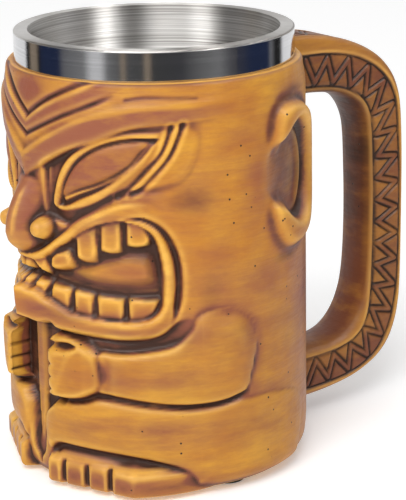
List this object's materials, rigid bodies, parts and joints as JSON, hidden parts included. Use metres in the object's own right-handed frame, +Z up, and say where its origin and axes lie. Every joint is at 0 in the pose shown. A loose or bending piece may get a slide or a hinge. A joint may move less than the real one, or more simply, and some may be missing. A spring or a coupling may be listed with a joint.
{
  "type": "tiki mug",
  "caption": "Carved cylindrical tiki mug: painted resin face, arms and feet round a double-walled steel liner, with a D-shaped side handle.",
  "frame": {"origin": "on the cup's axis, on the floor under the foot pads", "axes": "+Z up along the cup's axis, the face looks along -Y, the handle stands out along +Y, +X is the figure's left side"},
  "size_m": [0.1044, 0.1583, 0.1463],
  "materials": {
    "resin": "satin, wood-grained, with dark washes in the carving",
    "resin_handle": "satin, stained zigzag panel",
    "steel_satin": "brushed round the cup",
    "steel_polished": "polished",
    "pad_rubber": "matt"
  },
  "bodies": {
    "root": {"body_casting": "resin", "handle": "resin_handle", "inner_cup": "steel_satin", "outer_sleeve": "steel_polished", "sleeve_base": "steel_satin", "foot_pad_front": "pad_rubber", "foot_pad_back": "pad_rubber", "foot_pad_left": "pad_rubber", "foot_pad_right": "pad_rubber"}
  },
  "joints": []
}
